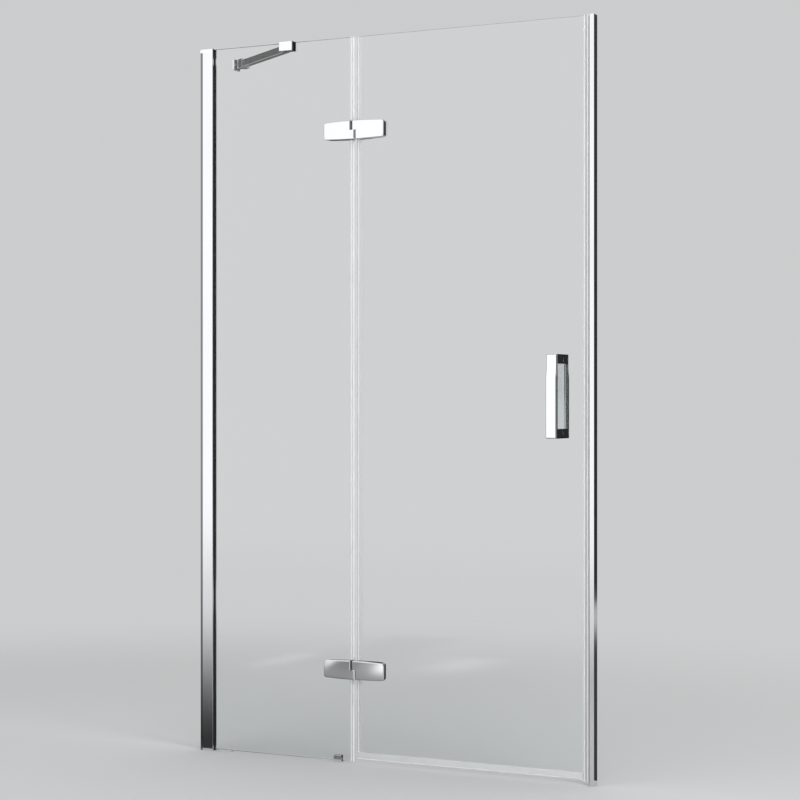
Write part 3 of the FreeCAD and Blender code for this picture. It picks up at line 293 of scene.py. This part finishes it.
def milky_vinyl_and_highlight(tree, shader, milky_and_highlight):
    """Clear vinyl is cloudy white where it is seen along its surface, and less so where it stands out past a
    leg.

    The white is partly the vinyl's own cloudiness and partly painted highlight. The last argument is the
    share of it that shows past a leg.
    """
    weight = tree.nodes.new("ShaderNodeLayerWeight")
    out = smooth_step(tree, maths(tree, "ABSOLUTE", own_axes(tree)["Y"]), *MILKY_AND_HIGHLIGHT_OUT)
    along = smooth_step(tree, weight.outputs["Facing"], *MILKY_AND_HIGHLIGHT_ALONG)
    share = maths(tree, "MAXIMUM", along, maths(tree, "MULTIPLY", out, milky_and_highlight))
    # Cloudy white: partly the vinyl's own cloudiness, partly painted highlight on its edges and beads
    milk_and_highlight = tree.nodes.new("ShaderNodeBsdfDiffuse")
    milk_and_highlight.inputs["Color"].default_value = (*MILKY_VINYL_AND_HIGHLIGHT, 1)
    return mixed(tree, share, shader, milk_and_highlight)


def let_lamps_through(tree, surface, colour):
    """Shadow rays pass a clear material, so that it doesn't darken what stands behind it."""
    path = tree.nodes.new("ShaderNodeLightPath")
    thin = tree.nodes.new("ShaderNodeBsdfTransparent")
    thin.inputs["Color"].default_value = (*colour, 1)
    show(tree, mixed(tree, path.outputs["Is Shadow Ray"], surface, thin))


def even(density):
    """A grain that is the same along all three axes."""
    return (density, density, density)


def finishes():
    """Every finish by its material slot. Upright and level grains are lines drawn along Z and X."""
    upright, level = (700, 700, 3), (3, 700, 700)
    vinyl = dict(colour=CLEAR_VINYL, rough=0.12, uneven=0.06, depth=4e-6, tone=0.02, clear=0.92, index=1.42)
    recipes = {
        "polished_chrome": dict(
            colour=CHROME, metal=1, rough=0.045, uneven=0.03, grain=even(160), depth=4e-6),
        "chromed_plastic": dict(
            colour=CHROME, metal=1, rough=0.06, uneven=0.03, grain=even(220), depth=8e-6),
        "chromed_profile": dict(
            colour=ANODISED, metal=1, rough=0.10, uneven=0.05, grain=upright, depth=3e-6),
        # The channel's colour holds painted shade of the wall beside it
        "channel_aluminium": dict(
            colour=MILL_FINISH_WITH_PAINTED_SHADE, metal=1, rough=0.26, uneven=0.06, grain=upright, depth=8e-6),
        "stainless_steel": dict(
            colour=STEEL, metal=1, rough=0.24, uneven=0.08, grain=even(1400), depth=5e-6),
        "clear_glass": dict(
            colour=GLASS, rough=0.0, uneven=0.004, grain=(6, 6, 4), depth=6e-6, tone=0.01, clear=1.0,
            index=1.52),
        # Seals show cloudy white on edges and beads, partly their own cloudiness and partly painted
        # highlight
        "clear_seal": dict(vinyl, grain=upright, milky_and_highlight=0.85),
        "clear_seal_level": dict(vinyl, grain=level, milky_and_highlight=0.2),
        "clear_plastic": dict(
            colour=NATURAL_NYLON, rough=0.28, uneven=0.05, grain=even(500), depth=8e-6, tone=0.05, clear=0.7,
            index=1.5),
        "plain_washer": dict(
            colour=WHITE_ACETAL, rough=0.35, uneven=0.05, grain=even(900), depth=5e-6),
        "grey_gasket": dict(
            colour=DARK_RUBBER, rough=0.55, uneven=0.08, grain=(900, 900, 60), depth=2e-5, tone=0.15),
        "soft_pad": dict(
            colour=BLACK_RUBBER, rough=0.62, uneven=0.08, grain=even(900), depth=2e-5, tone=0.15),
        "magnet_strip": dict(
            colour=GREY_FERRITE, rough=0.45, uneven=0.08, grain=(40, 900, 40), depth=1e-5, tone=0.15),
    }
    return {name: finish(name, **recipe) for name, recipe in recipes.items()}


# Seals, as sections carried along the edge that they sit on. Sections are in millimetres.

def rounded(corners, steps=6):
    """Points and outward normals of a counter-clockwise outline with an arc at each corner.

    A corner is a place and the radius of its arc. The arc's centre is on the corner's bisector, radius over
    the sine of half its angle away, and the normal turns evenly from one side's to the next's. At a hollow
    corner the arc lies on the far side of its centre.
    """
    rows = np.array(corners, float)
    at, size = rows[:, :2], rows[:, 2:]
    along = np.roll(at, -1, 0) - at
    along /= np.linalg.norm(along, axis=1)[:, None]
    before = np.roll(along, 1, 0)
    out_before, out_after = before[:, ::-1] * (1, -1), along[:, ::-1] * (1, -1)
    turn = before[:, 0] * along[:, 1] - before[:, 1] * along[:, 0]
    hollow = np.where(turn < 0, -1.0, 1.0)[:, None]
    bisector = out_before + out_after
    bisector /= np.linalg.norm(bisector, axis=1)[:, None]
    cosine = np.sum(bisector * out_before, axis=1)[:, None]
    centre = at - hollow * bisector * size / cosine
    angle = np.arccos(np.clip(np.sum(out_before * out_after, axis=1), -1, 1))[:, None]
    share = np.linspace(0, 1, steps + 1)[None, :]
    least_sine = 1e-9
    sine = np.maximum(np.sin(angle), least_sine)
    first, last = np.sin((1 - share) * angle) / sine, np.sin(share * angle) / sine
    normals = first[..., None] * out_before[:, None] + last[..., None] * out_after[:, None]
    points = centre[:, None] + hollow[:, None] * size[:, None] * normals
    return points.reshape(-1, 2), normals.reshape(-1, 2)


def placed(name, data):
    """A new object of the scene, at the origin."""
    made = bpy.data.objects.new(name, data)
    bpy.context.scene.collection.objects.link(made)
    return made


def carried(name, outlines, start, end, upright=True):
    """A mesh whose outlines run straight from start to end, with smooth walls and flat ends.

    A wall point is the outline's point at either end, and its normal is the outline's. Later outlines are
    hollows, drawn clockwise. Upright carries an X and Y section along Z. Otherwise a Y and Z section runs
    along X.
    """
    flat = np.concatenate([points for points, _ in outlines]) / MM_PER_METRE
    outward = np.concatenate([normals for _, normals in outlines])
    count = len(flat)
    sizes = [len(points) for points, _ in outlines]
    firsts = np.cumsum([0] + sizes[:-1])
    here = np.arange(count)
    after = np.concatenate([np.roll(np.arange(size), -1) + first for size, first in zip(sizes, firsts)])
    rings = [np.column_stack([flat, np.full(count, level / MM_PER_METRE)]) for level in (start, end)]
    points = np.concatenate(rings)
    walls = np.column_stack([here, after, after + count, here + count])
    loops = [[Vector((*point, 0)) for point in part / MM_PER_METRE] for part, _ in outlines]
    caps = np.array(tessellate_polygon(loops))
    first, second, third = (flat[caps[:, corner]] for corner in range(3))
    one, other = second - first, third - first
    clockwise = one[:, 0] * other[:, 1] - one[:, 1] * other[:, 0] < 0
    caps[clockwise] = caps[clockwise][:, ::-1]
    wall_normals = np.column_stack([outward, np.zeros(count)])
    normals = [wall_normals[walls % count].reshape(-1, 3)]
    for direction in (-1, 1):
        normals.append(np.tile((0.0, 0.0, direction), (caps.size, 1)))
    normals = np.concatenate(normals)
    if not upright:
        points, normals = points[:, [2, 0, 1]], normals[:, [2, 0, 1]]
    faces = walls.tolist() + caps[:, ::-1].tolist() + (caps + count).tolist()
    mesh = bpy.data.meshes.new(name)
    mesh.from_pydata(points.tolist(), [], faces)
    mesh.polygons.foreach_set("use_smooth", np.ones(len(faces), bool))
    mesh.normals_split_custom_set(normals.tolist())
    return placed(name, mesh)


def mm_box(node):
    """A node's box in millimetres."""
    low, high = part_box(node)
    return np.array(low) * MM_PER_METRE, np.array(high) * MM_PER_METRE


def in_place_of(node, made, finish_name):
    """Puts a finished piece in place of a CAD node, on the same body."""
    made.data.materials.append(FINISHES[finish_name])
    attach(made, nodes[node]["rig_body"])
    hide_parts(node)


def bead(start, wide, crown, before, after, arc=CROWN_ARC):
    """The corners of a bead on a leg's front, with the leg's own face before the bead and after it."""
    end = start + wide + BEAD_FLANK
    return [
        (start, -before, EASED), (start + BEAD_FLANK, -crown, arc),
        (end, -crown, arc), (end + BEAD_FLANK, -after, EASED),
    ]


def other_side(half):
    """The same corners on the other side of the glass, in the order that goes on round the outline."""
    return [(x, -y, arc) for x, y, arc in half[::-1]]


def seat(root, edge):
    """The corners of the groove that takes the glass, from the back leg's root to the front leg's."""
    bottom = edge + SEAT_GAP
    return [
        (root, SEAT_FACE, EASED), (bottom, SEAT_FACE, CRISP),
        (bottom, -SEAT_FACE, CRISP), (root, -SEAT_FACE, EASED),
    ]


def fixed_edge_section(low, high):
    """Two legs with a bead each, a web over the glass edge and a lip that curves across the gap."""
    grip, web, web_arc = 10, 1, 0.6
    front_face, front_bead_back, front_bead = 4.9, 5, 1.6
    back_face, back_bead, back_slope, back_arc = 5.35, 2.3, 0.8, 0.5
    lip_root, lip_knee, lip_tip, lip_bend = (-0.45, 0.5), (0.35, 1.3), (1.55, 2.4), 7
    knee_front, knee_back = 5.5, 5.2
    root, tip, edge = low[0], high[0], low[0] + grip
    outside = edge + web
    front = [(root, -front_face, EASED)]
    front += bead(edge - front_bead_back, front_bead, BEAD_FACE, front_face, LEG_FACE)
    web_and_lip = [
        (outside, -LEG_FACE, web_arc), (outside, lip_root[0], CROWN_ARC),
        (edge + knee_front, lip_knee[0], lip_bend), (tip, lip_tip[0], EASED),
        (tip, lip_tip[1], 0.4), (edge + knee_back, lip_knee[1], lip_bend),
        (outside, lip_root[1], CROWN_ARC), (outside, LEG_FACE, web_arc),
    ]
    back = [
        (root + back_bead + back_slope, LEG_FACE, back_arc), (root + back_bead, back_face, back_arc),
        (root, back_face, 0.55),
    ]
    return [rounded(front + web_and_lip + back + seat(root, edge))]


def door_hinge_section(low, high):
    """A web over the glass edge and two long legs that thin out past a bead each."""
    web_thick, bead_from, bead_wide, thin_face = 1, 3.6, 1.7, 4.5
    web, tip, edge = low[0], high[0], low[0] + web_thick
    leg = [(web, -LEG_FACE, 0.7)] + bead(web + bead_from, bead_wide, BEAD_FACE, LEG_FACE, LEG_FACE)
    half = leg + [(tip, -thin_face, 0.2), (tip, -SEAT_FACE, 0.15), (edge - SEAT_GAP, -SEAT_FACE, CRISP)]
    return [rounded(half + other_side(half))]


def closing_section(low, high):
    """Two ribbed legs, a web over the glass edge and the square chamber that holds the magnet."""
    web_thick, chamber_deep, chamber_wall = 1.2, 4.8, 0.6
    root_face, leg_face, chamber_face, hollow_face = 5.05, 5.2, 6.0, 4.6
    rib_from, rib_wide, rib_face = 3.4, 1.1, 5.55
    root, end = low[0], high[0]
    web = end - chamber_deep
    leg = [(root, -root_face, 0.35)]
    leg += bead(root + rib_from, rib_wide, rib_face, leg_face, leg_face, arc=EASED)
    half = leg + [(web, -leg_face, EASED), (web, -chamber_face, 0.4), (end, -chamber_face, 0.8)]
    front = [(web, -hollow_face, EASED), (end - chamber_wall, -hollow_face, EASED)]
    points, normals = rounded(front + other_side(front), steps=3)
    return [rounded(half + other_side(half) + seat(root, web - web_thick)), (points[::-1], -normals[::-1])]


def bottom_section(low, high):
    """Two legs, a web under the glass edge, a drip rib outside and a soft lip that leans inwards."""
    grip, web_thick, leg_face, shoulder = 14.5, 1.2, 5.35, 0.6
    rib_face, rib_drop, rib_back, rib_under, rib_root = 6.5, 1.3, 5.6, 2.2, 3.1
    lip_root, lip_knee, lip_foot, lip_bend = (-0.7, 0.9), (1.2, 2.7), (3.7, 5.1), 6
    knee_front_drop, knee_back_drop = 4.6, 4.0
    foot, top = low[2], high[2]
    edge = top - grip
    web = edge - web_thick
    seat_top = edge - SEAT_GAP
    front = [(-SEAT_FACE, top, EASED), (-leg_face, top, 0.4), (-leg_face, web + shoulder, 0.8)]
    rib = [(-rib_face, web - rib_drop, CRISP), (-rib_back, web - rib_under, CRISP), (-rib_root, web, 0.8)]
    lip = [
        (lip_root[0], web, 0.5), (lip_knee[0], web - knee_front_drop, lip_bend), (lip_foot[0], foot, CRISP),
        (lip_foot[1], foot, EASED), (lip_knee[1], web - knee_back_drop, lip_bend), (lip_root[1], web, 0.5),
    ]
    back = [(leg_face, web, 0.8), (leg_face, top, 0.4), (SEAT_FACE, top, EASED)]
    groove = [(SEAT_FACE, seat_top, CRISP), (-SEAT_FACE, seat_top, CRISP)]
    return [rounded(front + rib + lip + back + groove)]


def seals():
    """Every seal in place of its CAD node: the upright ones by their kind, and the one under the door."""
    sections = {
        "fixed_edge_seal": fixed_edge_section,
        "door_hinge_seal": door_hinge_section,
        "closing_seal": closing_section,
    }
    for node in sorted(nodes):
        kind = next((kind for kind in sections if node.startswith(kind)), None)
        if kind:
            low, high = mm_box(node)
            made = carried(f"{node}_strip", sections[kind](low, high), low[2], high[2])
            in_place_of(node, made, "clear_seal")
    low, high = mm_box("door_bottom_seal")
    made = carried("door_bottom_seal_strip", bottom_section(low, high), low[0], high[0], upright=False)
    in_place_of("door_bottom_seal", made, "clear_seal_level")


# Studio

def softbox(name, place, target, size, level):
    """A rectangular lamp whose face shows as bright as the level, turned to the target."""
    wide, tall = size
    lamp = bpy.data.lights.new(name, "AREA")
    lamp.shape, lamp.size, lamp.size_y = "RECTANGLE", wide, tall
    lamp.energy = level * math.pi * wide * tall
    made = placed(name, lamp)
    made.location = place
    made.rotation_euler = (Vector(target) - Vector(place)).to_track_quat("-Z", "Y").to_euler()
    for kind in ("camera", "transmission", "glossy"):
        setattr(made, f"visible_{kind}", False)


def card(name, place, turn, size, levels, soft, rise=(0.0, 1.0)):
    """A card that only mirrored rays see: its light goes from one level to the other up its height.

    Rise gives the two shares of its height between which that happens. It fades out over three soft shares:
    of its half width at both sides, and of its height at foot and top. It is dimmer for each glass face that
    the ray has passed, as the inside of a shower is.
    """
    wide, tall = size
    x, z = np.array([-0.5, 0.5, 0.5, -0.5]) * wide, np.array([0.0, 0.0, 1.0, 1.0]) * tall
    mesh = bpy.data.meshes.new(name)
    mesh.from_pydata(np.column_stack([x, np.zeros(4), z]).tolist(), [], [(0, 1, 2, 3)])
    made = placed(name, mesh)
    made.location = place
    made.rotation_euler = turn
    for kind in ("camera", "diffuse", "shadow", "volume_scatter"):
        setattr(made, f"visible_{kind}", False)
    mesh.materials.append(card_finish(name, size, levels, soft, rise))


def card_finish(name, size, levels, soft, rise):
    """Plain light where a mirrored ray meets the card, faded out at its sides, foot and top."""
    made, tree, shader = new_material(name)
    tree.nodes.remove(shader)
    wide, tall = size
    low, high = levels
    side, foot, top = soft
    axes = own_axes(tree)
    across = maths(tree, "MULTIPLY", maths(tree, "ABSOLUTE", axes["X"]), 2 / wide)
    up = maths(tree, "MULTIPLY", axes["Z"], 1 / tall)
    level = smooth_step(tree, up, *rise)
    light = maths(tree, "ADD", maths(tree, "MULTIPLY", level, high - low), low)
    ends = maths(tree, "MULTIPLY", smooth_step(tree, up, 0, foot), smooth_step(tree, up, 1, 1 - top))
    faded = maths(tree, "MULTIPLY", smooth_step(tree, across, 1, 1 - side), ends)
    path = tree.nodes.new("ShaderNodeLightPath")
    mirrored = maths(tree, "MINIMUM", path.outputs["Glossy Depth"], 1)
    passed = maths(tree, "MINIMUM", path.outputs["Transmission Depth"], MOST_FACES)
    dimmed = maths(tree, "SUBTRACT", 1, maths(tree, "MULTIPLY", passed, FACE_LOSS))
    clear = tree.nodes.new("ShaderNodeBsdfTransparent")
    glow = tree.nodes.new("ShaderNodeEmission")
    tree.links.new(maths(tree, "MULTIPLY", light, dimmed), glow.inputs["Strength"])
    show(tree, mixed(tree, maths(tree, "MULTIPLY", faded, mirrored), clear, glow))
    return made


def studio_world(level):
    """Pale surroundings where they are seen, and soft light of a plain level from them."""
    world = bpy.data.worlds.new("studio")
    bpy.context.scene.world = world
    world.use_nodes = True
    tree = world.node_tree
    glow = tree.nodes["Background"]
    glow.inputs["Color"].default_value = (1, 1, 1, 1)
    glow.inputs["Strength"].default_value = level
    shown = tree.nodes.new("ShaderNodeBackground")
    shown.inputs["Color"].default_value = (*PALE, 1)
    show(tree, mixed(tree, seen_ray(tree), glow, shown), "World Output")


def pale_floor(near, far):
    """A round floor that takes the shadows near the object and turns into the surroundings far from it.

    Its points stand at even turns on four circles round its middle: near, half way, far, and its reach times
    as far.
    """
    turns = np.linspace(0, 2 * np.pi, FLOOR_STEPS + 1)[:-1]
    radii = np.array([near, (near + far) / 2, far, far * FLOOR_REACH])
    rings = (radii[:, None, None] * np.stack([np.cos(turns), np.sin(turns)], -1)).reshape(-1, 2)
    centre = np.array([FLOOR_CENTRE])
    points = np.concatenate([centre, rings + centre])
    points = np.column_stack([points, np.full(len(points), FLOOR_LEVEL)])
    step = np.arange(FLOOR_STEPS)
    here, after = step + 1, (step + 1) % FLOOR_STEPS + 1
    hub = np.column_stack([np.zeros(FLOOR_STEPS, int), here, after]).tolist()
    inner = np.arange(len(radii) - 1)[:, None] * FLOOR_STEPS
    outer = inner + FLOOR_STEPS
    bands = np.stack([here + inner, here + outer, after + outer, after + inner], -1).reshape(-1, 4).tolist()
    mesh = bpy.data.meshes.new("floor")
    mesh.from_pydata(points.tolist(), [], hub + bands)
    made = placed("floor", mesh)
    made.data.materials.append(floor_finish(near, far))


def floor_finish(near, far):
    """Matt near the object, and as pale as the surroundings far from it where it is seen."""
    made, tree, shader = new_material("pale_floor")
    shader.inputs["Base Color"].default_value = (*PALE, 1)
    shader.inputs["Roughness"].default_value = 0.9
    shader.inputs["Specular IOR Level"].default_value = 0.1
    glow = tree.nodes.new("ShaderNodeEmission")
    glow.inputs["Color"].default_value = (*PALE, 1)
    length = tree.nodes.new("ShaderNodeVectorMath")
    length.operation = "LENGTH"
    tree.links.new(own_place(tree), length.inputs[0])
    fade = smooth_step(tree, length.outputs["Value"], near, far)
    show(tree, mixed(tree, maths(tree, "MULTIPLY", fade, seen_ray(tree)), shader, glow))
    return made


def turned(degrees):
    """The turn of a card that stands, by so many degrees about Z."""
    return (0, 0, math.radians(degrees))


def cards():
    """The light and dark that the chrome mirrors. Flags are dark and glows are bright.

    Each has its place, turn, width and height, two levels of light, and soft shares of sides, foot and top.
    """
    card("front_card", (-1.4, -3.2, 0.0), STANDING, (4.6, 5.0), (0.88, 1.28), (0.43, SHARP, 0.18),
         rise=(0.0, 0.1))
    card("front_flag", (2.6, -3.6, 0.0), STANDING, (5.0, 5.0), (0.04, 0.04), (0.1, 0.15, 0.2))
    card("floor_card", (-1.0, -0.03, 0.002), LYING, (4.0, 3.17), (0.04, 0.9), (0.5, SHARP, SHARP),
         rise=(0.0, 1.1))
    card("floor_flag", (-0.48, -1.4, 0.003), LYING, (0.52, 1.3), (0.28, 0.28), (0.8, 0.2, 0.2))
    card("right_glow", (-0.02, -1.5, 0.004), LYING, (0.4, 0.65), (1.35, 1.35), (1.0, 0.5, 0.25))
    card("left_glow", (-0.69, -1.35, 0.004), LYING, (0.23, 0.65), (1.1, 1.1), (1.0, 0.5, 0.25))
    card("back_floor", (2.0, 3.6, 0.002), LYING, (5.0, 3.55), (0.05, 0.05), (0.25, 0.3, SHARP))
    card("back_flag", (-1.8, 4.0, 0.95), STANDING, (3.4, 0.85), (0.06, 0.06), (0.2, 0.12, 0.2))
    card("right_flag", (3.4, 3.6, -0.05), turned(-38), (4.2, 4.6), (0.03, 0.05), (0.4, SHARP, 0.2))
    card("side_flag", (4.6, -1.6, -0.05), turned(70), (3.6, 2.5), (0.04, 0.08), (0.4, 0.4, 0.2))
    card("left_flag", (-3.8, 0.6, -0.05), turned(84), (3.4, 4.6), (0.04, 0.08), (0.4, 0.2, 0.2))


def studio():
    """Pale surroundings, a pale floor, four soft lamps and the cards."""
    studio_world(level=0.70)
    pale_floor(near=1.3, far=3.2)
    middle = (0.6, 0.0, 1.0)
    softbox("front_light", (-1.0, -3.0, 1.85), (0.55, 0.0, 1.2), (2.9, 2.3), level=1.55)
    softbox("top_light", (1.8, -1.6, 4.2), middle, (1.6, 1.6), level=3.0)
    softbox("back_light", (0.2, 3.4, 2.2), middle, (2.4, 1.6), level=0.95)
    softbox("side_light", (4.4, -1.75, 1.3), (0.5, 0.0, 1.1), (1.1, 2.6), level=9.5)
    cards()


def camera():
    """A level camera with the photograph's place, heading and angle of view."""
    made = placed("camera", bpy.data.cameras.new("camera"))
    made.data.lens = LENS
    made.data.sensor_width = SENSOR
    made.data.clip_end = FARTHEST
    made.location = CAMERA_PLACE
    made.rotation_euler = Vector(CAMERA_HEADING).to_track_quat("-Z", "Y").to_euler()
    bpy.context.scene.camera = made


def dress():
    """Gives each CAD node the finish of its material slot in the record."""
    for part in frame["record"]["subparts"]:
        for slot in nodes[part["node"]].material_slots:
            slot.material = FINISHES[part["material_slot"]]


bpy.context.scene.view_settings.view_transform = "Standard"
FINISHES = finishes()
camera()
studio()
dress()
seals()
